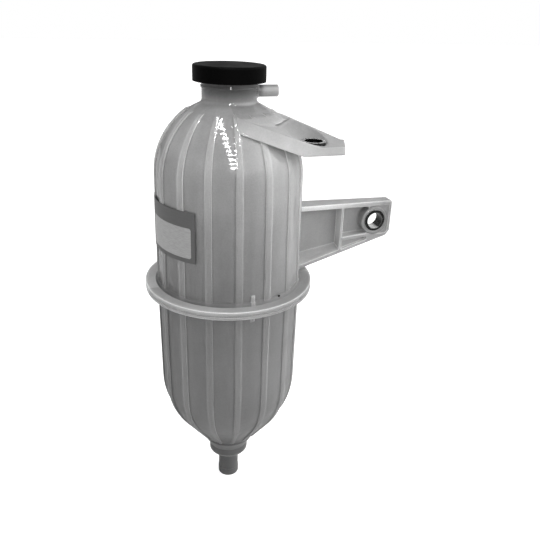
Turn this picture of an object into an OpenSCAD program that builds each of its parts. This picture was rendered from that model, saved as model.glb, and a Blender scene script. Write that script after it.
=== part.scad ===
// Coolant expansion tank: two welded mouldings with a screw cap, two bushed brackets and two hose nipples.
// The origin is at the end of the outlet nipple, on the tank's axis. +Z is up, and both brackets point to +X.

/* [Body] */
// Outside radius over the ribs, at the weld
body_r = 52; // [46:0.5:58]
// How much narrower the body is at the start of the dome
upper_draft = 1; // [0:0.1:2]
// How much narrower the body is where the bottom starts to close
lower_draft = 0.5; // [0:0.1:2]
// Wall thickness of both mouldings
wall = 2.5; // [1.8:0.1:3.5]
// Height of the weld above the end of the outlet nipple
weld_z = 182.7; // [170:0.5:200]
// Height from the weld to the centre of the dome
upper_h = 81.3; // [74:0.5:95]
// Depth from the weld to where the bottom starts to close
lower_h = 77.7; // [60:0.5:88]

/* [Bottom] */
// Radius of the curve from the body into the bottom cone
bottom_arc_r = 65; // [55:1:75]
// Slope of the bottom cone from level, in degrees
bottom_slope = 53; // [50:0.5:58]
// Radius of the edge where the ribbed bottom ends
bottom_edge_r = 20.6; // [19:0.2:23]
// Radius of the collar above the outlet
collar_r = 15.6; // [14:0.2:17]
// Height of the collar's upper edge above its lower face
collar_h = 6.3; // [4:0.1:9]

/* [Ribs] */
// Number of ribs round the body
rib_count = 16; // [8:1:24]
// Width of each rib
rib_w = 4.6; // [2:0.1:8]
// Height of the ribs above the panels
rib_h = 1; // [0.5:0.1:1.6]
// Angle of the first rib from the brackets' side, in degrees
rib_turn = -7; // [-11:0.5:11]
// Radius at which the ribs end on the dome
rib_top_r = 30; // [28:0.5:36]
// Length over which the ribs fade out on the dome
rib_fade = 8; // [4:0.5:10]
// Radius at which the ribs end on the bottom
rib_bottom_r = 24; // [23:0.5:30]

/* [Weld flange] */
// Radius of the weld flange
flange_r = 60.5; // [56:0.5:66]
// Thickness of the upper half of the flange
flange_up_t = 3.3; // [2:0.1:5]
// Thickness of the lower half of the flange
flange_low_t = 2.2; // [1.5:0.1:5]
// Size of the bevels that make the weld groove
groove = 0.5; // [0.2:0.1:0.8]
// Height of the plain ring at the foot of the upper panels
foot_h = 1.6; // [0.8:0.1:4]
// Radius of the index pips
pip_r = 1.4; // [1:0.1:2]
// Length of the index pips
pip_h = 7.5; // [4:0.5:12]
// Angle of the index pips, in degrees
pip_turn = -86.3; // [-95:0.5:-80]

/* [Neck] */
// Outside radius of the neck
neck_r = 18.2; // [17.4:0.1:19]
// Radius of the filler mouth
mouth_r = 15.4; // [13:0.1:16]
// Outside radius of the neck's threaded end
thread_root_r = 19.4; // [19:0.1:20]
// Height of the neck's rim above the centre of the dome
rim_h = 65.6; // [62:0.1:72]
// Length of the threaded end
thread_l = 5.9; // [4:0.1:8]
// Radius of the curve between the dome and the neck
neck_fillet = 3; // [2:0.1:5]
// Outside radius of the overflow nipple
overflow_r = 3.9; // [3:0.1:4.2]
// Bore radius of the overflow nipple
overflow_bore_r = 2.4; // [1.5:0.1:2.8]
// Length of the cone from the neck to the overflow nipple
overflow_root_l = 1.4; // [1:0.1:3]
// Distance of the overflow nipple's end from the tank's axis
overflow_x = 33; // [28:0.5:45]
// Depth of the overflow nipple's axis below the neck's rim
overflow_drop = 12.4; // [11:0.1:13]

/* [Cap] */
// Outside radius of the cap
cap_r = 23.9; // [23.5:0.1:26]
// Height of the cap
cap_h = 10.2; // [9.6:0.1:11]
// Thickness of the cap's top
cap_top_t = 2.5; // [1.5:0.1:3]
// Thickness of the cap's skirt
cap_wall = 2.1; // [1.5:0.1:2.5]
// Rounding of the cap's upper edge
cap_round = 1.4; // [0.5:0.1:2]
// Thickness of the cap seal
seal_t = 1.8; // [1:0.1:2.5]
// Width of the cap seal beyond the rim, on each side
seal_over = 1.2; // [0.5:0.1:1.5]

/* [Outlet] */
// Radius of the outlet nipple
outlet_r = 8.1; // [7:0.1:9]
// Radius of the raised land at the outlet's end
outlet_land_r = 8.4; // [8.2:0.1:10]
// Length of the raised land
outlet_land_l = 6; // [3:0.5:9]
// Bore radius of the outlet nipple
outlet_bore_r = 5.8; // [4:0.1:6.5]
// Length of the outlet nipple below the collar
outlet_l = 26.9; // [20:0.5:32]

/* [Upper bracket] */
// Height of the pad above the centre of the dome
pad_h = 24; // [21:0.1:25]
// Thickness of the pad
pad_t = 4.8; // [4:0.1:7]
// Distance of the upper bush from the tank's axis, along the brackets
upper_bush_x = 47.8; // [45:0.1:52]
// Distance of the upper bush from the tank's middle plane
upper_bush_y = -32.6; // [-34:0.1:-31]
// Distance of the pad's front corner from the tank's axis
pad_front_x = 64; // [61:0.5:72]
// Distance of the pad's back corner from the tank's axis
pad_back_x = 73.6; // [70:0.5:80]
// Distance of the pad's back corner from the tank's middle plane
pad_back_y = -23.5; // [-26:0.5:-20]
// Tilt of the bracket's top, in degrees
ramp_tilt = 20.3; // [19:0.1:22]
// Heading of the fall of the bracket's top, in degrees
ramp_heading = -45; // [-50:0.5:-40]
// Radius of the flat round each bush
spot_r = 9; // [8.8:0.1:10.2]
// Slope of the dished seat above the upper bush's flat, in degrees
dish_slope = 35; // [25:1:50]
// How far the upper bush stands out of its pad
bush_proud = 2; // [0.2:0.1:3]

/* [Lower bracket] */
// Height of the lower bracket's top above the weld
horn_top_h = 54.1; // [50:0.5:60]
// Distance of the lower bracket's tip from the tank's axis
horn_x = 126; // [122:0.5:140]
// Distance of the lower bush from the tank's axis
lower_bush_x = 112.5; // [111:0.5:114]
// Depth of the lower bush below the bracket's top
lower_bush_drop = 15; // [13.5:0.1:16]
// Distance of the bracket's front face from the tank's middle plane
horn_front = 7.5; // [6.5:0.1:9]
// Distance of the bracket's back from the middle plane, at the body
horn_back_root = 6.8; // [6:0.1:9]
// Distance of the bracket's back from the middle plane, at the tip
horn_back_tip = 1.5; // [1:0.1:4]
// Height of the bracket's lower edge above the weld, at the body
horn_foot_h = 4.9; // [4:0.1:10]
// Slope of the bracket's lower edge, in degrees
horn_slope = 16.8; // [14:0.1:18]
// Thickness of the bracket's top flange
horn_top_t = 3.5; // [2.5:0.1:5]
// Thickness of the bracket's other walls
horn_wall = 2.5; // [2:0.1:3]
// Distance of the raised box's side from the tank's axis
box_x = 84.6; // [80:0.5:90]
// Height of the raised box's lower face above the weld
box_h = 24.8; // [23:0.1:27]
// Radius of the boss round the lower bush
boss_r = 10.7; // [10.2:0.1:11.5]
// Depth of the recess between the raised box and the lower edge
under_box_t = 3; // [1:0.1:6]
// How far the lower bush stands out of its boss
lower_bush_proud = 0.4; // [0.2:0.1:1.5]

/* [Bushes] */
// Outside radius of the steel bushes
bush_r = 8.25; // [7.5:0.05:8.6]
// Bore radius of the steel bushes
bush_bore_r = 6; // [4:0.1:6.5]
// Gap between each bush and its moulded bore
bush_gap = 0.05; // [0.02:0.01:0.2]

/* [Label] */
// Height of the label's lower edge above the weld
label_low_h = 31.8; // [25:0.5:40]
// Height of the label
label_h = 34.4; // [25:0.5:45]
// Width of the label round the body
label_w = 70; // [50:1:90]
// Angle of the label's front edge, in degrees
label_turn = -129.3; // [-135:0.5:-120]
// Thickness of the label
label_t = 0.3; // [0.2:0.05:0.5]

/* [Hidden] */
$fn = 72;

// Colours
shell_white = [0.80, 0.81, 0.80];
cap_black = [0.07, 0.07, 0.07];
rubber_black = [0.12, 0.12, 0.12];
bush_steel = [0.42, 0.42, 0.43];
foil_grey = [0.62, 0.62, 0.62];

// Heights and radii that follow from the sizes above
past = 1;
reach = 120;
label_gap = 0.05;
arc_steps = 10;
dome_z = weld_z + upper_h;
dome_r = body_r - upper_draft;
spring_z = weld_z - lower_h;
spring_r = body_r - lower_draft;
skin = rib_h + wall;
flange_top_z = weld_z + flange_up_t;
flange_bottom_z = weld_z - flange_low_t;
rim_z = dome_z + rim_h;
overflow_z = rim_z - overflow_drop;
cap_top_z = rim_z + seal_t + cap_top_t;
cap_low_z = cap_top_z - cap_h;
rib_angle = 2 * asin(rib_w / 2 / body_r);
collar_z = outlet_l;
collar_top_z = collar_z + collar_h;

// A point of an arc with this centre and radius
function on_arc(centre, r, a) = centre + r * [cos(a), sin(a)];

// Points of an arc, from one angle to another
function arc(centre, r, from, to, steps = arc_steps) =
    [for (i = [0:steps]) on_arc(centre, r, from + (to - from) * i / steps)];

// Radius of the ribbed surface at height z, below the dome and above the bottom
function upper_r(z) = body_r - upper_draft * (z - weld_z) / upper_h;
function lower_r(z) = body_r - lower_draft * (weld_z - z) / lower_h;

// Angle, seen from the dome's centre, at which a surface this deep has radius r
function dome_angle(depth, r) = acos(r / (dome_r - depth));

// Outline of the upper body at this depth below the ribs, from height z0 up to radius r_end
function upper_line(depth, z0, r_end) = concat(
    [[upper_r(z0) - depth, z0]],
    arc([0, dome_z], dome_r - depth, 0, dome_angle(depth, r_end)));

// Outline of the lower body at this depth, from height z0 down the curve and the cone to radius r_end
bottom_centre = [spring_r - bottom_arc_r, spring_z];
bottom_turn = 90 - bottom_slope;
function cone_z(depth, r) =
    let (foot = on_arc(bottom_centre, bottom_arc_r - depth, -bottom_turn))
    foot[1] - (foot[0] - r) * tan(bottom_slope);
function lower_line(depth, z0, r_end) = concat(
    [[lower_r(z0) - depth, z0]],
    arc(bottom_centre, bottom_arc_r - depth, 0, -bottom_turn),
    [[r_end, cone_z(depth, r_end)]]);

// The curve between the dome and the neck touches both
fillet_z = dome_z + sqrt(pow(dome_r - rib_h + neck_fillet, 2) - pow(neck_r + neck_fillet, 2));
fillet_angle = atan2(fillet_z - dome_z, neck_r + neck_fillet);
fillet_start_r = (dome_r - rib_h) * cos(fillet_angle);
// Bead round the neck, below the thread
bead_drop = 10;
bead_h = 1.4;
bead_out = 0.6;
bead_z = rim_z - bead_drop;

module upper_moulding() {
    inside_angle = dome_angle(skin, mouth_r);
    rotate_extrude() polygon(concat(
        [[body_r - skin, weld_z], [flange_r - groove, weld_z], [flange_r, weld_z + groove],
         [flange_r, flange_top_z], [body_r, flange_top_z],
         [upper_r(flange_top_z + foot_h), flange_top_z + foot_h]],
        upper_line(rib_h, flange_top_z + foot_h, fillet_start_r),
        arc([neck_r + neck_fillet, fillet_z], neck_fillet, 180 + fillet_angle, 180, 5),
        [[neck_r, bead_z], [neck_r + bead_out, bead_z], [neck_r + bead_out, bead_z + bead_h],
         [neck_r, bead_z + bead_h], [neck_r, rim_z - thread_l], [thread_root_r, rim_z - thread_l],
         [thread_root_r, rim_z], [mouth_r, rim_z]],
        arc([0, dome_z], dome_r - skin, inside_angle, 0)));
}

// The space inside the upper half, up to the mouth
module upper_space() {
    rotate_extrude() polygon(concat(
        [[0, weld_z - past], [body_r - skin, weld_z - past]],
        upper_line(skin, weld_z, mouth_r),
        [[mouth_r, rim_z + past], [0, rim_z + past]]));
}

module lower_moulding() {
    sump_r = collar_r - wall;
    sump_z = collar_z + wall;
    inside = lower_line(skin, weld_z, sump_r);
    rotate_extrude() polygon(concat(
        [[body_r - skin, weld_z], [flange_r - groove, weld_z], [flange_r, weld_z - groove],
         [flange_r, flange_bottom_z]],
        lower_line(rib_h, flange_bottom_z, bottom_edge_r),
        [[bottom_edge_r, cone_z(0, bottom_edge_r)], [collar_r, collar_top_z], [collar_r, collar_z],
         [outlet_r, collar_z], [outlet_r, outlet_land_l], [outlet_land_r, outlet_land_l],
         [outlet_land_r, 0], [outlet_bore_r, 0], [outlet_bore_r, sump_z], [sump_r, sump_z]],
        [for (i = [len(inside) - 1:-1:1]) inside[i]]));
}

// A turn of the band between a sunk outline and an outer one
module band(turn, outline, sunk) {
    rotate_extrude(angle = turn)
        polygon(concat(outline, [for (i = [len(sunk) - 1:-1:0]) sunk[i]]));
}

// Each rib starts half its width before its angle
module rib(i, outline, sunk) {
    rotate([0, 0, rib_turn + i * 360 / rib_count - rib_angle / 2]) band(rib_angle, outline, sunk);
}

module upper_ribs() {
    z0 = flange_top_z + foot_h / 2;
    for (i = [0:rib_count - 1])
        rib(i, upper_line(0, z0, rib_top_r), upper_line(rib_h + wall / 2, z0, rib_top_r - rib_fade));
}

module lower_ribs() {
    z0 = flange_bottom_z + flange_low_t / 2;
    for (i = [0:rib_count - 1])
        rib(i, lower_line(0, z0, rib_bottom_r), lower_line(rib_h + wall / 2, z0, rib_bottom_r - rib_h));
}

// Upper bracket: the dome's curve carried straight towards +X, cut by the sloping top and by the pad
pad_z = dome_z + pad_h;
pad_low_z = pad_z - pad_t;
// A point of the sloping top, on the bracket's front edge
crest = [34.5, -42.1, dome_z + 28.5];
// Where the bracket leaves the dome, and where its underside turns level
arm_start_x = -4;
arm_level_x = 36;
arm_rise = 14;
arm_back = [36.6, -3.3];
arm_inner_x = 20;
pad_corner = [1, 4];
module arm_outline() {
    x0 = 2 * arm_start_x;
    polygon([[x0, -dome_r], [pad_front_x - pad_corner[0], -dome_r],
             [pad_front_x, pad_corner[1] - dome_r], [pad_back_x, pad_back_y],
             arm_back, [arm_inner_x, 0], [x0, 0]]);
}

// Everything below the sloping top
module under_ramp() {
    translate(crest) rotate([0, 0, ramp_heading]) rotate([0, ramp_tilt, 0])
        translate([-reach, -reach, -reach]) cube([2 * reach, 2 * reach, reach]);
}

// Everything above the bracket's underside
module above_arm_low() {
    rotate([90, 0, 0]) linear_extrude(dome_r + past)
        polygon([[arm_start_x, dome_z + dome_r], [arm_start_x, pad_low_z + arm_rise],
                 [arm_level_x, pad_low_z], [reach, pad_low_z], [reach, dome_z + dome_r]]);
}

// Above the bracket the dome has no panels: it is smooth at the ribs' height, and fades out at the neck
shoulder_from = -98;
shoulder_turn = 90;
module arm_shoulder() {
    intersection() {
        rotate([0, 0, shoulder_from]) band(shoulder_turn, upper_line(0, dome_z, rib_top_r + rib_h),
            upper_line(rib_h + wall / 2, dome_z, rib_top_r - rib_fade));
        above_arm_low();
    }
}

module upper_arm() {
    intersection() {
        translate([2 * arm_start_x, 0, dome_z]) rotate([0, 90, 0]) cylinder(r = dome_r, h = reach);
        translate([0, 0, dome_z]) linear_extrude(dome_r) arm_outline();
        above_arm_low();
        union() {
            under_ramp();
            translate([arm_level_x - past, -dome_r - past, pad_low_z - past])
                cube([reach, dome_r, pad_t + past]);
        }
    }
}

// Lower bracket: a tapered channel, open to the front, with a raised box and a boss at its tip
horn_top_z = weld_z + horn_top_h;
box_z = weld_z + box_h;
lower_bush_z = horn_top_z - lower_bush_drop;
horn_root_x = body_r - skin + past;
// How far the first pocket's floor rises from its front to its back, at each end
floor_rise_root = 5.8;
floor_rise_tip = 2.8;
// Corners of the tip
tip_round = 3;
tip_bevel = 1;
// Lip round the flat at the tip, and the depth of that flat
tip_lip = 1.8;
tip_depth = 0.6;
// Wall between the two pockets, and the space left round the boss
box_wall = 1.6;
boss_gap = 0.5;
function horn_low(x) = weld_z + horn_foot_h + (x - body_r) * tan(horn_slope);
function horn_back(x) =
    horn_back_root + (horn_back_tip - horn_back_root) * (x - body_r) / (horn_x - body_r);
function horn_web(x) = horn_back(x) - horn_wall;

module horn_side() {
    polygon([[horn_root_x, horn_top_z], [horn_x - tip_bevel, horn_top_z],
             [horn_x, horn_top_z - tip_bevel],
             [horn_x, horn_low(horn_x) + tip_round], [horn_x - tip_round, horn_low(horn_x - tip_round)],
             [horn_root_x, horn_low(horn_root_x)]]);
}

// A prism along Y from the outline below it, from y0 to y1
module along_y(y0, y1) {
    translate([0, y1, 0]) rotate([90, 0, 0]) linear_extrude(y1 - y0) children();
}

// The first pocket's floor falls towards the front
module root_pocket() {
    z_top = horn_top_z - horn_top_t;
    x0 = horn_root_x - past;
    front = -horn_front - past;
    low = horn_wall;
    polyhedron(
        points = [
            [x0, front, horn_low(x0) + low], [box_x, front, horn_low(box_x) + low],
            [box_x, front, z_top], [x0, front, z_top],
            [x0, horn_web(x0), horn_low(x0) + low + floor_rise_root],
            [box_x, horn_web(box_x), horn_low(box_x) + low + floor_rise_tip],
            [box_x, horn_web(box_x), z_top], [x0, horn_web(x0), z_top]],
        faces = [[3, 2, 1, 0], [4, 5, 6, 7], [0, 1, 5], [0, 5, 4], [1, 2, 6, 5], [2, 3, 7, 6], [3, 0, 4, 7]]);
}

// A pocket with this outline, cut from the front to the web
module pocket() {
    intersection() {
        along_y(-horn_front - past, horn_back_root) children();
        linear_extrude(horn_top_z) polygon([
            [box_x, -horn_front - past], [horn_x, -horn_front - past],
            [horn_x, horn_web(horn_x)], [box_x, horn_web(box_x)]]);
    }
}

// The raised box's lower face rises towards the tip
box_slope = 5;
function box_low(x) = box_z + (x - box_x) * tan(box_slope);

// The boss closes the box's pocket on the tip's side
module box_pocket() {
    x0 = box_x + box_wall;
    x1 = lower_bush_x - boss_r / 2;
    z1 = horn_top_z - horn_top_t;
    pocket() difference() {
        polygon([[x0, z1], [x0, box_low(x0) + horn_wall], [x1, box_low(x1) + horn_wall], [x1, z1]]);
        boss_outline();
    }
}

module boss_outline() {
    translate([lower_bush_x, lower_bush_z]) circle(r = boss_r);
}

module under_box_pocket() {
    x0 = box_x + box_wall;
    x1 = lower_bush_x - boss_r / 2;
    along_y(-horn_front - past, under_box_t - horn_front)
        polygon([[x0, box_low(x0)], [x0, horn_low(x0) + horn_wall],
                 [x1, horn_low(x1) + horn_wall], [x1, box_low(x1)]]);
}

// A shallow flat round the boss leaves a lip along the edges of the tip
module tip_recess() {
    x0 = lower_bush_x - boss_r - boss_gap;
    x1 = horn_x - tip_lip;
    z1 = horn_top_z - horn_top_t;
    along_y(-horn_front - past, tip_depth - horn_front) difference() {
        polygon([[x0, z1], [x1, z1], [x1, horn_low(x1) + tip_round],
                 [x1 - tip_lip, horn_low(x1 - tip_lip) + tip_lip], [x0, box_low(x0) + horn_wall]]);
        boss_outline();
    }
}

module lower_horn() {
    intersection() {
        along_y(-horn_front, horn_back_root) horn_side();
        translate([0, 0, weld_z]) linear_extrude(horn_top_h + past) polygon([
            [horn_root_x, -horn_front], [horn_x, -horn_front], [horn_x, horn_back(horn_x)],
            [horn_root_x, horn_back(horn_root_x)]]);
    }
}

// The sloping top is dished round the upper bush, down to a flat at the pad's height
dish_h = 12;
module upper_bush_bore() {
    translate([upper_bush_x, upper_bush_y, pad_low_z - past])
        cylinder(r = bush_r + bush_gap, h = dome_r);
    translate([upper_bush_x, upper_bush_y, pad_z])
        cylinder(r1 = spot_r, r2 = spot_r + dish_h / tan(dish_slope), h = dish_h);
}
module lower_bush_bore() {
    translate([lower_bush_x, 0, lower_bush_z]) rotate([90, 0, 0]) {
        cylinder(r = bush_r + bush_gap, h = reach, center = true);
        translate([0, 0, -reach - horn_back_tip]) cylinder(r = spot_r, h = reach);
    }
}

module pip(z) {
    rotate([0, 0, pip_turn]) translate([body_r - rib_h, 0, z]) cylinder(r = pip_r, h = pip_h, $fn = 32);
}

module overflow_nipple() {
    translate([0, 0, overflow_z]) rotate([0, 90, 0]) {
        cylinder(r = overflow_r, h = overflow_x);
        translate([0, 0, neck_r - overflow_root_l])
            cylinder(r1 = overflow_r + 2 * overflow_root_l, r2 = overflow_r, h = 2 * overflow_root_l);
    }
}

module upper_shell() color(shell_white) difference() {
    union() {
        upper_moulding();
        upper_ribs();
        difference() {
            union() {
                upper_arm();
                arm_shoulder();
                difference() {
                    lower_horn();
                    root_pocket();
                    box_pocket();
                    under_box_pocket();
                    tip_recess();
                }
                pip(flange_top_z - past);
                overflow_nipple();
            }
            upper_space();
        }
    }
    translate([0, 0, overflow_z]) rotate([0, 90, 0]) cylinder(r = overflow_bore_r, h = overflow_x + past);
    upper_bush_bore();
    lower_bush_bore();
}

module lower_shell() color(shell_white) {
    lower_moulding();
    lower_ribs();
    difference() {
        pip(flange_bottom_z + past - pip_h);
        translate([0, 0, spring_z]) cylinder(r = body_r - skin + past, h = lower_h + past);
    }
}

module screw_cap() color(cap_black) {
    rotate_extrude() polygon(concat(
        [[0, cap_top_z - cap_top_t], [cap_r - cap_wall, cap_top_z - cap_top_t],
         [cap_r - cap_wall, cap_low_z], [cap_r, cap_low_z]],
        arc([cap_r - cap_round, cap_top_z - cap_round], cap_round, 0, 90, 5),
        [[0, cap_top_z]]));
}

module cap_seal() color(rubber_black) translate([0, 0, rim_z]) difference() {
    cylinder(r = thread_root_r + seal_over, h = seal_t);
    translate([0, 0, -past]) cylinder(r = mouth_r - seal_over, h = seal_t + 2 * past);
}

module bush(length) {
    difference() {
        cylinder(r = bush_r, h = length);
        translate([0, 0, -past]) cylinder(r = bush_bore_r, h = length + 2 * past);
    }
}

module upper_bush() color(bush_steel)
    translate([upper_bush_x, upper_bush_y, pad_low_z]) bush(pad_t + bush_proud);

module lower_bush() color(bush_steel)
    translate([lower_bush_x, horn_back_tip, lower_bush_z]) rotate([90, 0, 0])
        bush(horn_front + horn_back_tip + lower_bush_proud);

module label() color(foil_grey) {
    low_z = weld_z + label_low_h;
    high_z = low_z + label_h;
    sweep = label_w / body_r * 180 / PI;
    r_low = upper_r(low_z) + label_gap;
    r_high = upper_r(high_z) + label_gap;
    rotate([0, 0, label_turn - sweep]) rotate_extrude(angle = sweep) polygon([
        [r_low, low_z], [r_low + label_t, low_z], [r_high + label_t, high_z], [r_high, high_z]]);
}

upper_shell();
lower_shell();
screw_cap();
cap_seal();
upper_bush();
lower_bush();
label();
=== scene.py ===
# Coolant expansion tank: finishes, screw threads, weld bead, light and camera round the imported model
import math

import bmesh
import bpy
from mathutils import Matrix, Vector


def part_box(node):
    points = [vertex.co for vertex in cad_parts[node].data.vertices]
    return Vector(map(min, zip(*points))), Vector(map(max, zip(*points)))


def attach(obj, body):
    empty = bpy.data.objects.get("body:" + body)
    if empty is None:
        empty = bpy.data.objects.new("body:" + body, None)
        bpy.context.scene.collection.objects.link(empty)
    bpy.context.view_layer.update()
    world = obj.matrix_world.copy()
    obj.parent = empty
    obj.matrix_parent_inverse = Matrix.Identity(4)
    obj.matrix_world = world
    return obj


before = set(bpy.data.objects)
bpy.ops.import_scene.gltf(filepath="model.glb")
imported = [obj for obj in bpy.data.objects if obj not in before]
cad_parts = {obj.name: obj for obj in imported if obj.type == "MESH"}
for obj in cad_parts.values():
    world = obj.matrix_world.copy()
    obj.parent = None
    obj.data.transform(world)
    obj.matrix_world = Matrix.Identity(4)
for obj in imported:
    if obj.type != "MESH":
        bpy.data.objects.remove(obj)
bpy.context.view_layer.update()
MM = 0.001

# Sizes of the tank that the finishes and the added pieces follow, in metres
BODY_R = 52 * MM
FLANGE_R = 60.5 * MM
WELD_Z = 182.7 * MM
DOME_Z = 264 * MM
SPRING_Z = 105 * MM
BOTTOM_ARC_R = 65 * MM
BOTTOM_SLOPE = math.radians(53)
RIB_COUNT = 16
RIB_TURN = math.radians(-7)
RIB_W = 4.6 * MM
RIB_H = 1 * MM
PIP_TURN = math.radians(-86.3)
RIM_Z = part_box("cap_seal")[0].z
NECK_R = 19.4 * MM
NECK_CREST_R = 21 * MM
SKIRT_R = 21.8 * MM
SKIRT_CREST_R = 20.2 * MM
THREAD_PITCH = 4 * MM
THREAD_STEPS = 64
EDGE_R = 2.2 * MM

# Upper bracket: its underside climbs towards the body, and its top slopes two ways
ARM_START_X = -4 * MM
ARM_LEVEL_X = 36 * MM
ARM_RISE = 14 * MM
ARM_LOW_Z = 283.2 * MM
ARM_TOP_WAY = (0.2453, -0.2453, 0.938)

# Lower bracket: the middle of its bore, along x and up
LOWER_BORE_X = 112.5 * MM
LOWER_BORE_Z = 221.8 * MM

# Label: it runs back round the body from its front edge
LABEL_W = 70 * MM
LABEL_FRONT = math.radians(-129.3)
LABEL_BORDER = 3 * MM
LABEL_HEADER = 10.6 * MM
LABEL_CORNER = 1.6 * MM

# The tank's axis, and the level ways to the back and to the brighter side on the right
AXIS_FOOT = (0, 0, 0)
UP = (0, 0, 1)
BACK_WAY = (0.3256, 0.9455, 0)
BRIGHT_WAY = (0.9455, -0.3256, 0)

# Ends of a ramp that falls, the middle stretch of a noise, and how much of the grey beside it the neck
# keeps under the cap's painted shade
DOWN = (1.0, 0.0)
MIDDLE = (0.3, 0.7)
NECK_SHADE_TONE = 0.17

# Camera, the point that the lamps face, and the lamps that stand in rows at one distance from it
CAMERA_AT = (-0.1001, -0.3840, 0.3689)
CAMERA_LENS = 39.16
CAMERA_DROP = math.radians(24.26)
CAMERA_ROLL = math.radians(1.96)
TANK_MIDDLE = (0, 0, 0.25)
ROW_FAR = 2.5
LONG_ROW = ((-0.11, 0.31, 0.95), (-0.21, -0.51, 0.83), (-0.12, -0.95, 0.28))
SHORT_ROW = ((0.03, -0.07, 1.0), (0.16, -0.36, 0.92), (0.12, -0.70, 0.70))


def span(low, high):
    """A stretch over which one finish passes into the next, given in millimetres."""
    return low * MM, high * MM


# Stretches on both mouldings
NECK_FOOT_R = span(21, 24)
RIB_FADE_R = span(24, 36)
GLOSS_Z = span(186, 192)
LEFT_SHADE_Z = span(170, 190)
FLANGE_TOP_Z = span(188, 190)
PIP_SIDE = span(1.5, 1.8)
PIP_END = span(10, 10.4)

# Stretches on the bottom: the plain ring above the collar, and the start of the ribs
RING_START_Z = span(33, 34)
RING_END_Z = span(41.6, 42.2)
RIB_END_Z = span(42.1, 42.5)
RIB_END_SHADE_Z = span(44, 48)
RIBBED_Z = span(50, 60)

# Stretches on the neck, where the cap's shade is painted, and on the upper bracket
NECK_SHADE_Z = span(302, 324)
NECK_WALL_R = span(18.6, 25)
ARM_TIP_X = span(20, 62)
ARM_FLAT_X = span(4, 20)
ARM_ROOT_Z = span(300, 308)

# Stretches on the lower bracket
LOW_ARM_TOP_Z = span(236, 245)
POCKET_TOP_Z = span(232, 234)
POCKET_Y = span(-9.4, -8.4)
LIP_Z = span(232.8, 233.6)
LIP_Y = span(-7.4, -6.8)
LIP_X = span(60, 112)
BOSS_R = span(10.4, 11.2)
BOSS_GAP_START_R = span(10.1, 10.5)
BOSS_GAP_END_R = span(10.9, 11.5)
HORN_TIP_X = span(112, 122)


class Graph:
    """The nodes of one material or of the room, with short ways to add maths to them."""

    def __init__(self, owner, shader="Principled BSDF"):
        owner.use_nodes = True
        self.owner = owner
        self.tree = owner.node_tree
        self.shader = self.tree.nodes[shader]

    def node(self, kind, **settings):
        made = self.tree.nodes.new(kind)
        for key, value in settings.items():
            setattr(made, key, value)
        return made

    def link(self, source, target):
        """Joins a node's output to a socket, or writes a fixed value into it."""
        if isinstance(source, (int, float, tuple)):
            target.default_value = source
        else:
            self.tree.links.new(source, target)

    def put(self, socket, source):
        """Gives the shader's own socket a value."""
        self.link(source, self.shader.inputs[socket])

    def math(self, operation, *values):
        made = self.node("ShaderNodeMath", operation=operation)
        for slot, value in enumerate(values):
            self.link(value, made.inputs[slot])
        return made.outputs[0]

    def product(self, first, *others):
        for other in others:
            first = self.math("MULTIPLY", first, other)
        return first

    def total(self, first, *others):
        for other in others:
            first = self.math("ADD", first, other)
        return first

    def less(self, first, second):
        return self.math("SUBTRACT", first, second)

    def rest(self, share):
        """What a share leaves of the whole."""
        return self.less(1.0, share)

    def ramp(self, value, stretch, ends=(0.0, 1.0)):
        """Passes smoothly from the first end to the second while the value crosses the stretch."""
        made = self.node("ShaderNodeMapRange", interpolation_type="SMOOTHSTEP")
        for slot, item in enumerate((value, *stretch, *ends)):
            self.link(item, made.inputs[slot])
        return made.outputs[0]

    def mix(self, amount, first, second):
        """Passes from the first colour to the second."""
        made = self.node("ShaderNodeMix", data_type="RGBA")
        self.link(amount, made.inputs["Factor"])
        self.link(first, made.inputs[6])
        self.link(second, made.inputs[7])
        return made.outputs[2]

    def blend(self, amount, first, second):
        """Passes from the first direction to the second."""
        made = self.node("ShaderNodeMix", data_type="VECTOR")
        self.link(amount, made.inputs["Factor"])
        self.link(first, made.inputs[4])
        self.link(second, made.inputs[5])
        return made.outputs[1]

    def dot(self, first, second):
        made = self.node("ShaderNodeVectorMath", operation="DOT_PRODUCT")
        self.link(first, made.inputs[0])
        self.link(second, made.inputs[1])
        return made.outputs["Value"]

    def distance(self, first, second):
        squares = [self.math("MULTIPLY", side, side) for side in (first, second)]
        return self.math("SQRT", self.math("ADD", *squares))

    def place(self):
        return self.node("ShaderNodeTexCoord").outputs["Object"]

    def facing(self):
        return self.node("ShaderNodeNewGeometry").outputs["Normal"]

    def soft_edge(self, radius, samples):
        """The surface's direction with its edges rounded off."""
        made = self.node("ShaderNodeBevel", samples=samples)
        made.inputs["Radius"].default_value = radius
        return made.outputs[0]

    def axes(self, vector):
        made = self.node("ShaderNodeSeparateXYZ")
        self.link(vector, made.inputs[0])
        return made.outputs

    def joined(self, kind, *parts):
        """Puts three values together as one vector or one colour."""
        made = self.node(kind)
        for slot, part in enumerate(parts):
            self.link(part, made.inputs[slot])
        return made.outputs[0]

    def noise(self, vector, scale, detail=3.0, roughness=0.5):
        made = self.node("ShaderNodeTexNoise")
        self.link(vector, made.inputs["Vector"])
        made.inputs["Scale"].default_value = scale
        made.inputs["Detail"].default_value = detail
        made.inputs["Roughness"].default_value = roughness
        return made.outputs["Fac"]

    def stretched(self, vector, scale):
        made = self.node("ShaderNodeMapping")
        self.link(vector, made.inputs["Vector"])
        made.inputs["Scale"].default_value = scale
        return made.outputs[0]

    def bump(self, height, distance, strength, normal=None):
        made = self.node("ShaderNodeBump")
        made.inputs["Strength"].default_value = strength
        made.inputs["Distance"].default_value = distance
        self.link(height, made.inputs["Height"])
        if normal is not None:
            self.link(normal, made.inputs["Normal"])
        return made.outputs[0]


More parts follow.
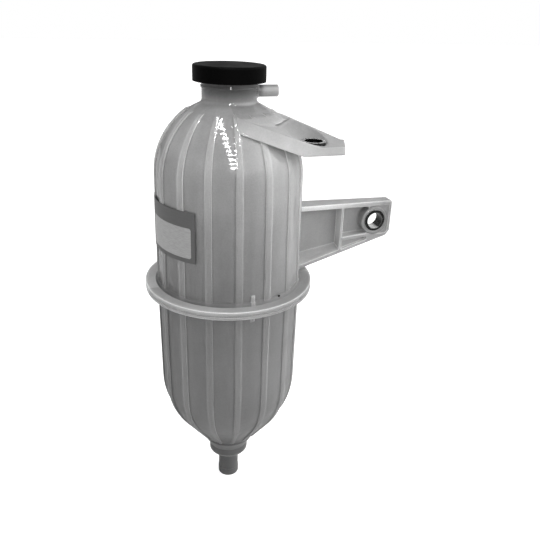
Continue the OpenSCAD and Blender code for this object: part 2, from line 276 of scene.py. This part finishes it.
class Spot:
    """Where a point of a moulding lies round the tank's axis, and which way it faces."""

    def __init__(self, g):
        self.place = g.place()
        self.x, self.y, self.z = g.axes(self.place)
        self.radius = g.distance(self.x, self.y)
        self.angle = g.math("ARCTAN2", self.y, self.x)
        self.across = g.math("DIVIDE", g.dot(self.place, BRIGHT_WAY), self.radius)
        self.above_dome = g.math("MAXIMUM", g.less(self.z, DOME_Z), 0.0)
        self.reach = g.distance(self.radius, self.above_dome)
        self.facing = g.facing()
        self.facing_x, self.facing_y, self.facing_z = g.axes(self.facing)


def grey(value):
    return (value, value, value, 1.0)


def upper_arm_mask(g, spot):
    """What lies above the underside of the upper bracket, where the dome has no ribs."""
    slope = ARM_RISE / (ARM_LEVEL_X - ARM_START_X)
    climb = g.product(g.math("MAXIMUM", g.less(ARM_LEVEL_X, spot.x), 0.0), slope)
    above = g.less(g.less(spot.z, ARM_LOW_Z), climb)
    zone = g.product(g.ramp(above, span(-0.3, 0.3)), g.ramp(spot.y, span(-4, -1), DOWN))
    return g.product(zone, g.ramp(spot.x, (ARM_START_X - 0.5 * MM, ARM_START_X + 0.5 * MM)))


def wall_mask(g, spot, above_arm):
    """The round wall with its ribs, and not what stands out past them."""
    crest_r = g.total(g.ramp(spot.z, (WELD_Z, DOME_Z), (BODY_R + RIB_H, BODY_R)), 0.2 * MM)
    wall = g.ramp(g.less(spot.reach, crest_r), span(0, 0.5), DOWN)
    return g.product(wall, g.rest(above_arm))


def rib_mask(g, spot):
    """The ribs' crests, each with a soft halo. They fade towards the neck and on the bright side."""
    pitch = 2 * math.pi / RIB_COUNT
    turns = g.math("DIVIDE", g.less(spot.angle, RIB_TURN), pitch)
    off_rib = g.math("ABSOLUTE", g.less(turns, g.math("ROUND", turns)))
    off_rib = g.product(off_rib, pitch, spot.radius)
    crest = g.ramp(off_rib, (RIB_W * 0.1, RIB_W * 0.55), (0.5, 0.0))
    halo = g.ramp(off_rib, (RIB_W * 0.2, RIB_W * 2.0), (0.5, 0.0))
    in_light = g.ramp(spot.across, (0.15, 0.7), (1.0, 0.3))
    return g.product(g.total(crest, halo), in_light, g.ramp(spot.radius, RIB_FADE_R))


def rib_side_painted_light(g, spot):
    """Painted light on the ribs' side walls, which face round the tank: they are made brighter than the
    panels.
    """
    sideways = g.less(g.product(spot.facing_x, spot.y), g.product(spot.facing_y, spot.x))
    share = g.math("DIVIDE", g.math("ABSOLUTE", sideways), spot.radius)
    return g.product(g.ramp(share, (0.4, 0.8)), g.ramp(spot.across, (0.1, 0.6), (1.0, 0.65)))


def pip_mask(g, spot):
    """The two index pips, over and under the weld flange."""
    off_pip = g.math("ABSOLUTE", g.product(g.less(spot.angle, PIP_TURN), spot.radius))
    from_weld = g.math("ABSOLUTE", g.less(spot.z, WELD_Z))
    return g.product(g.ramp(from_weld, PIP_END, DOWN), g.ramp(off_pip, PIP_SIDE, DOWN))


def bottom_shade(g, spot):
    """A darker line where the ribbed bottom ends, and a lighter plain ring under it."""
    rib_end = g.product(g.ramp(spot.z, RIB_END_Z), g.ramp(spot.z, RIB_END_SHADE_Z, (-0.25, 0.0)))
    ring = g.product(g.ramp(spot.z, RING_START_Z), g.ramp(spot.z, RING_END_Z, (0.3, 0.0)))
    return g.total(rib_end, ring, 1.0)


def side_light(g, spot, lit_gain):
    """Brighter on the right, and darker on the left, most of all under the weld."""
    left = g.ramp(spot.z, LEFT_SHADE_Z, (0.45, 0.75))
    return g.product(
        g.ramp(spot.across, (0.1, 1.0), (1.0, lit_gain)),
        g.ramp(spot.across, (-1.0, -0.5), (left, 1.0)),
    )


def lower_arm_light_and_tone(g, spot, low_arm):
    """Grey of the lower bracket, with its pockets, boss and tip, and of the weld flange, with painted light
    and shade: brighter pocket walls, darker pocket floors, a painted highlight along the upper lip, and on
    the flange a lighter front and painted shade on the right.
    """
    front_face = g.math("ABSOLUTE", spot.facing_y)
    sunk = g.product(g.ramp(spot.z, POCKET_TOP_Z, DOWN), g.ramp(spot.y, POCKET_Y))
    # Painted light on the pocket walls and painted shade on the pocket floors
    lit_pocket_walls = g.product(sunk, g.ramp(front_face, (0.4, 0.8), (0.35, 0.0)))
    shaded_pocket_floors = g.product(sunk, g.ramp(front_face, (0.4, 0.8), (0.0, -0.08)))
    # Painted highlight along the upper lip
    lip = g.product(g.ramp(spot.z, LIP_Z), g.ramp(spot.y, LIP_Y, DOWN), g.ramp(spot.x, LIP_X, (0.9, 0.1)))
    lip = g.product(lip, g.ramp(front_face, (0.5, 0.9)))
    tone = g.product(g.total(lit_pocket_walls, lip, shaded_pocket_floors, 1.0), low_arm)
    from_bore = g.distance(g.less(spot.x, LOWER_BORE_X), g.less(spot.z, LOWER_BORE_Z))
    boss_gap = g.product(g.ramp(from_bore, BOSS_GAP_START_R), g.ramp(from_bore, BOSS_GAP_END_R, DOWN))
    tone = g.product(tone, g.ramp(from_bore, BOSS_R, (0.85, 1.0)))
    tone = g.product(tone, g.ramp(boss_gap, (0.0, 1.0), (1.0, 0.6)))
    tone = g.product(tone, g.ramp(spot.x, HORN_TIP_X, (1.0, 0.82)))
    # Painted light on the flange's front and painted shade on its right
    flange = g.product(g.ramp(spot.z, FLANGE_TOP_Z, DOWN), g.ramp(spot.across, (-0.4, 0.9), (0.12, -0.2)))
    return g.product(tone, g.total(flange, 1.0))


def upper_arm_shade_and_tone(g, spot, upper_arm, low_arm):
    """Grey of the upper bracket and the neck, with painted shade on faces that look up, and darker towards
    the tip.
    """
    # Painted shade on faces that look up
    top = g.ramp(spot.facing_z, (0.5, 0.9), (1.0, 0.78))
    tone = g.product(top, g.ramp(spot.x, ARM_TIP_X, (upper_arm, upper_arm * 0.78)))
    return g.product(tone, g.ramp(spot.z, ARM_ROOT_Z, (1.0, low_arm / upper_arm)))


def clouded(g, spot):
    """Uneven milkiness: wide clouds, streaks down the wall and fine specks."""
    cloud = g.noise(spot.place, 26.0, 4.0, 0.6)
    streak = g.noise(g.stretched(spot.place, (1.0, 1.0, 0.12)), 160.0, 3.0, 0.6)
    speck = g.noise(spot.place, 900.0, 3.0, 0.7)
    tone = g.total(g.ramp(cloud, MIDDLE, (0.93, 1.05)), g.ramp(streak, MIDDLE, (-0.03, 0.03)))
    return g.total(tone, g.ramp(speck, MIDDLE, (-0.04, 0.04)))


def painted_edge_highlight(g, spot, soft_edge, wall, beside_low_arm):
    """Painted highlight on edges, which look brighter because light gathers in them, but less so on the
    ribbed wall.
    """
    bent = g.rest(g.dot(soft_edge, spot.facing))
    edges = g.product(g.ramp(bent, (0.02, 0.3)), g.ramp(beside_low_arm, (0.0, 1.0), (0.25, 0.8)))
    ribbed = g.math("MAXIMUM", g.ramp(spot.radius, NECK_FOOT_R), g.ramp(spot.z, RIBBED_Z))
    return g.total(g.product(edges, g.rest(g.product(wall, ribbed))), 1.0)


def round_wall_way(g, spot):
    """The way that a plain round tank would face: level on the body, bent on the dome and the bottom."""
    closing = g.math("DIVIDE", g.less(spot.z, SPRING_Z), BOTTOM_ARC_R)
    closing = g.math("MAXIMUM", g.math("MINIMUM", closing, 0.0), -math.cos(BOTTOM_SLOPE))
    tilt = g.total(g.math("DIVIDE", spot.above_dome, spot.reach), closing)
    level = g.math("SQRT", g.math("MAXIMUM", g.rest(g.product(tilt, tilt)), 0.0))
    way_x = g.product(g.math("DIVIDE", spot.x, spot.radius), level)
    way_y = g.product(g.math("DIVIDE", spot.y, spot.radius), level)
    return g.joined("ShaderNodeCombineXYZ", way_x, way_y, tilt)


def milky_plastic(name, foot, panel, panel_z, rib_gain, lit_gain, upper_arm, low_arm):
    """Natural moulded plastic: thin panels look darker than thick ribs and arms. Painted light and shade: a
    lit side, highlights on edges and the lower bracket's lip, light and shade on the brackets' faces, and
    the cap's shade on the neck.

    foot and panel are the panels' greys at the two heights of panel_z, upper_arm and low_arm the
    brackets'. rib_gain and lit_gain are how much brighter the ribs and the lit side are.
    """
    g = Graph(bpy.data.materials.new(name))
    spot = Spot(g)
    above_arm = upper_arm_mask(g, spot)
    wall = wall_mask(g, spot, above_arm)
    pip = pip_mask(g, spot)
    beside_low_arm = g.ramp(spot.z, LOW_ARM_TOP_Z, DOWN)
    soft_edge = g.soft_edge(EDGE_R, samples=12)

    # Grey of the panels and ribs, then of the brackets and the flange, with painted light and shade on them
    thin = g.product(g.ramp(spot.z, panel_z, (foot, panel)), bottom_shade(g, spot))
    # Ribs and pips lighter, and painted light on the ribs' side walls
    gain = g.total(g.ramp(rib_mask(g, spot), (0.0, 1.0), (1.0, rib_gain)), rib_side_painted_light(g, spot))
    gain = g.total(gain, g.product(pip, 0.5))
    panels = g.product(thin, gain, side_light(g, spot, lit_gain))
    arms = g.total(
        g.product(beside_low_arm, lower_arm_light_and_tone(g, spot, low_arm)),
        g.product(upper_arm_shade_and_tone(g, spot, upper_arm, low_arm), g.rest(beside_low_arm)),
    )
    body = g.total(g.product(panels, wall), g.product(arms, g.rest(wall)))
    # Painted shade under the cap, darkening the neck towards it
    neck = g.product(g.ramp(spot.z, NECK_SHADE_Z), g.ramp(spot.radius, NECK_WALL_R, DOWN))
    body = g.product(body, g.ramp(neck, (0.0, 1.0), (1.0, NECK_SHADE_TONE)))
    # Uneven milkiness, and painted highlights on edges
    body = g.product(body, clouded(g, spot), painted_edge_highlight(g, spot, soft_edge, wall, beside_low_arm))
    g.put("Base Color", g.joined("ShaderNodeCombineColor", body, body, body))

    # Glossy above the weld and duller below it
    gloss = g.ramp(g.noise(spot.place, 90.0, 4.0), (0.35, 0.7), (0.05, 0.1))
    g.put("Roughness", g.total(gloss, g.ramp(spot.z, GLOSS_Z, (0.33, 0.0))))

    # Directions: round walls without facets, an even top on the upper bracket, and slight waves
    smooth = g.product(wall, g.ramp(spot.radius, NECK_FOOT_R, (0.0, 0.85)), g.rest(pip))
    way = g.blend(smooth, soft_edge, round_wall_way(g, spot))
    flat_top = g.product(above_arm, g.ramp(spot.facing_z, (0.55, 0.75)))
    flat_top = g.product(flat_top, g.ramp(spot.x, ARM_FLAT_X, (0.0, 0.7)))
    way = g.blend(flat_top, way, ARM_TOP_WAY)
    waves = g.noise(g.stretched(spot.place, (1.0, 1.0, 0.5)), 55.0, 2.0, 0.4)
    way = g.bump(waves, 0.1 * MM, 0.4, way)
    g.put("Normal", g.bump(g.noise(spot.place, 1500.0, 2.0), 0.01 * MM, 0.3, way))

    g.put("Subsurface Weight", 0.8)
    g.put("Subsurface Radius", (1.0, 1.0, 1.0))
    g.put("Subsurface Scale", 7 * MM)
    g.put("IOR", 1.5)
    return g.owner


def cap_plastic():
    """Black plastic of the cap, with a fine grain and hardly any shine."""
    g = Graph(bpy.data.materials.new("cap_black_plastic"))
    place = g.place()
    grain = g.noise(place, 900.0, 3.0, 0.6)
    g.put("Base Color", g.mix(g.ramp(grain, MIDDLE), grey(0.0005), grey(0.0012)))
    g.put("Roughness", g.ramp(g.noise(place, 70.0, 4.0), MIDDLE, (0.42, 0.55)))
    g.put("Specular IOR Level", 0.025)
    g.put("Normal", g.bump(grain, 0.05 * MM, 0.4))
    return g.owner


def seal_rubber():
    g = Graph(bpy.data.materials.new("seal_rubber"))
    grain = g.noise(g.place(), 1200.0, 2.0)
    g.put("Base Color", g.mix(grain, grey(0.01), grey(0.02)))
    g.put("Roughness", 0.7)
    g.put("Normal", g.bump(grain, 0.03 * MM, 0.5))
    return g.owner


def dark_steel():
    """Dark steel of the bushes, with painted glints: a painted reflection low in the lower bush's bore, and
    painted highlights on edges and on faces that look up.
    """
    g = Graph(bpy.data.materials.new("bush_dark_steel"))
    place = g.place()
    spots = g.noise(place, 700.0, 4.0, 0.65)
    x, y, z = g.axes(place)
    drop = g.less(z, LOWER_BORE_Z)
    # Painted reflection at the bottom of the lower bush's bore
    bore = g.ramp(g.distance(g.less(x, LOWER_BORE_X), drop), span(6.1, 6.5), DOWN)
    bore_glint = g.product(bore, g.ramp(drop, span(-5.6, -4.9), DOWN))
    facing = g.facing()
    # Painted highlights on edges, and on faces that look up
    even = g.dot(g.soft_edge(0.5 * MM, samples=8), facing)
    edge_glint = g.product(g.ramp(even, (0.85, 0.99), DOWN), 0.4)
    top_face_glint = g.product(g.ramp(g.axes(facing)[2], (0.8, 0.95)), g.ramp(spots, (0.4, 0.55)))
    # The painted glints lighten the steel's colour
    bright = g.math("MAXIMUM", g.math("MAXIMUM", bore_glint, edge_glint), top_face_glint)
    dark = g.mix(g.ramp(spots, (0.35, 0.65)), grey(0.012), grey(0.05))
    g.put("Base Color", g.mix(bright, dark, grey(0.8)))
    g.put("Metallic", 1.0)
    g.put("Roughness", g.ramp(spots, MIDDLE, (0.18, 0.32)))
    g.put("Normal", g.bump(spots, 0.03 * MM, 0.4))
    return g.owner


def label_foil():
    """Bare foil label: a dark header band and border round a pale field with rounded corners."""
    g = Graph(bpy.data.materials.new("label_foil"))
    place = g.place()
    x, y, z = g.axes(place)
    low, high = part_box("label")
    field_low = low.z + LABEL_BORDER
    field_high = high.z - LABEL_HEADER
    middle = LABEL_FRONT - LABEL_W / BODY_R / 2
    along = g.product(g.less(g.math("ARCTAN2", y, x), middle), BODY_R)
    up = g.less(z, (field_low + field_high) / 2)
    past_side = g.less(g.math("ABSOLUTE", along), LABEL_W / 2 - LABEL_BORDER - LABEL_CORNER)
    past_end = g.less(g.math("ABSOLUTE", up), (field_high - field_low) / 2 - LABEL_CORNER)
    from_field = g.distance(g.math("MAXIMUM", past_side, 0.0), g.math("MAXIMUM", past_end, 0.0))
    field = g.ramp(from_field, (LABEL_CORNER - 0.1 * MM, LABEL_CORNER + 0.1 * MM), DOWN)
    grain = g.noise(g.stretched(place, (1.0, 1.0, 6.0)), 260.0, 4.0, 0.6)
    dark = g.mix(grain, grey(0.08), grey(0.11))
    pale = g.mix(g.ramp(grain, MIDDLE), grey(0.3), grey(0.37))
    g.put("Base Color", g.mix(field, dark, pale))
    g.put("Roughness", g.ramp(field, (0.0, 1.0), (0.5, 0.4)))
    g.put("Metallic", 0.25)
    g.put("Normal", g.bump(g.noise(place, 60.0, 3.0), 0.25 * MM, 0.5))
    return g.owner


def dress(node, material):
    """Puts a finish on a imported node."""
    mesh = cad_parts[node].data
    mesh.materials.clear()
    mesh.materials.append(material)


upper_plastic = milky_plastic(
    "upper_moulding_plastic",
    foot=0.18,
    panel=0.33,
    panel_z=span(190, 300),
    rib_gain=1.26,
    lit_gain=1.38,
    upper_arm=0.47,
    low_arm=0.36,
)
lower_plastic = milky_plastic(
    "lower_moulding_plastic",
    foot=0.07,
    panel=0.16,
    panel_z=span(0, 120),
    rib_gain=1.2,
    lit_gain=1.15,
    upper_arm=0.3,
    low_arm=0.3,
)
black = cap_plastic()
steel = dark_steel()
dress("upper_shell", upper_plastic)
dress("lower_shell", lower_plastic)
dress("screw_cap", black)
dress("cap_seal", seal_rubber())
dress("upper_bush", steel)
dress("lower_bush", steel)
dress("label", label_foil())


def new_piece(name, shape, material, body):
    """Makes an object of a finished shape, in place, and lets it ride on its body."""
    mesh = bpy.data.meshes.new(name)
    bmesh.ops.recalc_face_normals(shape, faces=shape.faces)
    shape.to_mesh(mesh)
    shape.free()
    mesh.materials.append(material)
    for face in mesh.polygons:
        face.use_smooth = True
    piece = bpy.data.objects.new(name, mesh)
    bpy.context.scene.collection.objects.link(piece)
    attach(piece, body)


def screw_thread(root_r, crest_r, low_z, turns):
    """A ridge that climbs round the axis, and runs out to nothing at both ends."""
    shape = bmesh.new()
    half_root, half_crest = 1.05 * MM, 0.45 * MM
    corners = ((root_r, -half_root), (crest_r, -half_crest), (crest_r, half_crest), (root_r, half_root))
    ring = [shape.verts.new((r, 0, low_z + up)) for r, up in corners]
    edges = [shape.edges.new((ring[i], ring[(i + 1) % 4])) for i in range(4)]
    steps = round(turns * THREAD_STEPS)
    climb = THREAD_PITCH * turns
    rise = (0, 0, climb / steps)
    bmesh.ops.spin(
        shape, geom=ring + edges, cent=AXIS_FOOT, axis=UP, dvec=rise, angle=2 * math.pi * turns, steps=steps
    )
    bmesh.ops.holes_fill(shape, edges=[e for e in shape.edges if e.is_boundary], sides=4)
    run_out = 0.1 * climb
    for vert in shape.verts:
        radius = math.hypot(vert.co.x, vert.co.y)
        if abs(radius - crest_r) < 0.1 * MM:
            from_end = min(vert.co.z - low_z + half_crest, low_z + climb - vert.co.z + half_crest)
            height = min(1.0, max(0.05, from_end / (run_out + half_crest)))
            wanted = root_r + (crest_r - root_r) * height
            vert.co.x *= wanted / radius
            vert.co.y *= wanted / radius
    return shape


def weld_bead():
    """The uneven bead that the hot-plate weld squeezed into the flange's groove."""
    shape = bmesh.new()
    bead_r = 0.42 * MM
    path_r = FLANGE_R - 0.56 * MM
    ring = bmesh.ops.create_circle(shape, segments=8, radius=bead_r)["verts"]
    bmesh.ops.rotate(shape, verts=ring, cent=AXIS_FOOT, matrix=Matrix.Rotation(math.pi / 2, 3, "X"))
    bmesh.ops.translate(shape, verts=ring, vec=(path_r, 0, WELD_Z))
    whole = shape.verts[:] + shape.edges[:]
    bmesh.ops.spin(shape, geom=whole, cent=AXIS_FOOT, axis=UP, angle=2 * math.pi, steps=240, use_merge=True)
    for vert in shape.verts:
        around = math.atan2(vert.co.y, vert.co.x)
        swell = 0.5 * math.sin(17 * around + 0.6) + 0.3 * math.sin(41 * around)
        swell += 0.2 * math.sin(73 * around + 1.9)
        move = 1 + 0.1 * MM * swell / FLANGE_R
        vert.co.x *= move
        vert.co.y *= move
        vert.co.z += 0.05 * MM * math.sin(29 * around + 0.4)
    return shape


def gate_mark():
    """The dark stub left where the moulding was filled, on the foot of the upper moulding."""
    shape = bmesh.new()
    stub_r = 0.9 * MM
    stub_z = 187.6 * MM
    stub_turn = math.radians(-63.1)
    bmesh.ops.create_uvsphere(shape, u_segments=16, v_segments=8, radius=stub_r)
    bmesh.ops.scale(shape, vec=(0.6, 1, 1), verts=shape.verts)
    bmesh.ops.translate(shape, vec=(BODY_R - 0.2 * MM, 0, stub_z), verts=shape.verts)
    bmesh.ops.rotate(shape, verts=shape.verts, cent=AXIS_FOOT, matrix=Matrix.Rotation(stub_turn, 3, "Z"))
    return shape


neck_ridge = screw_thread(NECK_R - 0.1 * MM, NECK_CREST_R, RIM_Z - 5 * MM, 1.1)
cap_ridge = screw_thread(SKIRT_R + 0.1 * MM, SKIRT_CREST_R, RIM_Z - 4.6 * MM + THREAD_PITCH / 4, 0.9)
quarter_turn = Matrix.Rotation(math.pi / 2, 3, "Z")
bmesh.ops.rotate(cap_ridge, verts=cap_ridge.verts, cent=AXIS_FOOT, matrix=quarter_turn)
new_piece("neck_thread", neck_ridge, upper_plastic, "tank")
new_piece("cap_thread", cap_ridge, black, "cap")
new_piece("weld_bead", weld_bead(), lower_plastic, "tank")
new_piece("gate_mark", gate_mark(), black, "tank")

# Camera at the photograph's viewing angle
camera_data = bpy.data.cameras.new("camera")
camera_data.sensor_width = 36
camera_data.lens = CAMERA_LENS
camera = bpy.data.objects.new("camera", camera_data)
bpy.context.scene.collection.objects.link(camera)
heading = Vector(BACK_WAY).normalized()
forward = heading * math.cos(CAMERA_DROP) - Vector(UP) * math.sin(CAMERA_DROP)
level_right = Vector((heading.y, -heading.x, 0))
level_up = level_right.cross(forward)
right = level_right * math.cos(CAMERA_ROLL) + level_up * math.sin(CAMERA_ROLL)
up = level_up * math.cos(CAMERA_ROLL) - level_right * math.sin(CAMERA_ROLL)
turn = Matrix((right, up, -forward)).transposed().to_4x4()
camera.matrix_world = Matrix.Translation(CAMERA_AT) @ turn
bpy.context.scene.camera = camera

# Pale floor, which looks white to the camera and throws less light up at the tank
floor_shape = bmesh.new()
bmesh.ops.create_grid(floor_shape, x_segments=1, y_segments=1, size=6)
bmesh.ops.translate(floor_shape, verts=floor_shape.verts, vec=(0, 0, -0.4 * MM))
floor_mesh = bpy.data.meshes.new("floor")
floor_shape.to_mesh(floor_mesh)
floor_shape.free()
floor = bpy.data.objects.new("floor", floor_mesh)
bpy.context.scene.collection.objects.link(floor)
floor_paint = Graph(bpy.data.materials.new("floor_paint"))
floor_paint.put("Base Color", grey(0.7))
floor_paint.put("Roughness", 0.9)
floor_paint.put("Specular IOR Level", 0.0)
floor_paint.put("Emission Color", grey(1.0))
to_camera = floor_paint.node("ShaderNodeLightPath").outputs["Is Camera Ray"]
floor_paint.put("Emission Strength", floor_paint.product(to_camera, 0.68))
floor_mesh.materials.append(floor_paint.owner)

# Room: white to the camera, and as light brightest on the right and low down, dim at the left and back
room = Graph(bpy.data.worlds.new("room"), "Background")
bpy.context.scene.world = room.owner
way = room.node("ShaderNodeTexCoord").outputs["Generated"]
across = room.dot(way, BRIGHT_WAY)
height = room.axes(way)[2]
right_side = room.ramp(across, (-0.1, 0.95), (0.0, 2.4))
left_side = room.ramp(across, (-0.95, -0.3), (0.2, 0.0))
level = room.ramp(height, (0.25, 0.9), (1.5, 0.2))
raised = room.ramp(height, (-0.02, 0.4), (0.35, 1.0))
towards_back = room.ramp(room.dot(way, BACK_WAY), (0.0, 0.7), (1.0, 0.45))
brightness = room.product(room.total(right_side, left_side, level), raised, towards_back)
to_camera = room.node("ShaderNodeLightPath").outputs["Is Camera Ray"]
room.put("Color", grey(1.0))
room.put("Strength", room.math("MAXIMUM", brightness, to_camera))
bpy.context.scene.view_settings.view_transform = "Standard"


def lamp(name, where, size, power, target=TANK_MIDDLE, gloss_only=True):
    """A rectangular lamp that points at a target, and shows in gloss alone or in all but gloss."""
    data = bpy.data.lights.new(name, "AREA")
    data.shape = "RECTANGLE"
    data.size, data.size_y = size
    data.energy = power
    made = bpy.data.objects.new(name, data)
    bpy.context.scene.collection.objects.link(made)
    made.location = where
    made.rotation_euler = (Vector(target) - Vector(where)).to_track_quat("-Z", "Y").to_euler()
    made.visible_glossy = gloss_only
    made.visible_diffuse = not gloss_only


def lamp_row(name, ways, count, size, power):
    """Short lamps in a row overhead, which show in the dome as a broken streak."""
    start, middle, end = [Vector(way) for way in ways]
    for i in range(count):
        part = 2 * (i + 0.5) / count
        way = start.lerp(middle, part) if part < 1 else middle.lerp(end, part - 1)
        lamp(f"{name}_{i}", Vector(TANK_MIDDLE) + way.normalized() * ROW_FAR, size, power)


lamp_row("long_row", LONG_ROW, count=13, size=(0.3, 0.12), power=6.5)
lamp_row("short_row", SHORT_ROW, count=5, size=(0.16, 0.11), power=2.5)
lamp("left_fill", (-0.45, 0.1, 0.6), size=(0.3, 0.3), power=0.5, target=(-0.05, 0, 0.27), gloss_only=False)
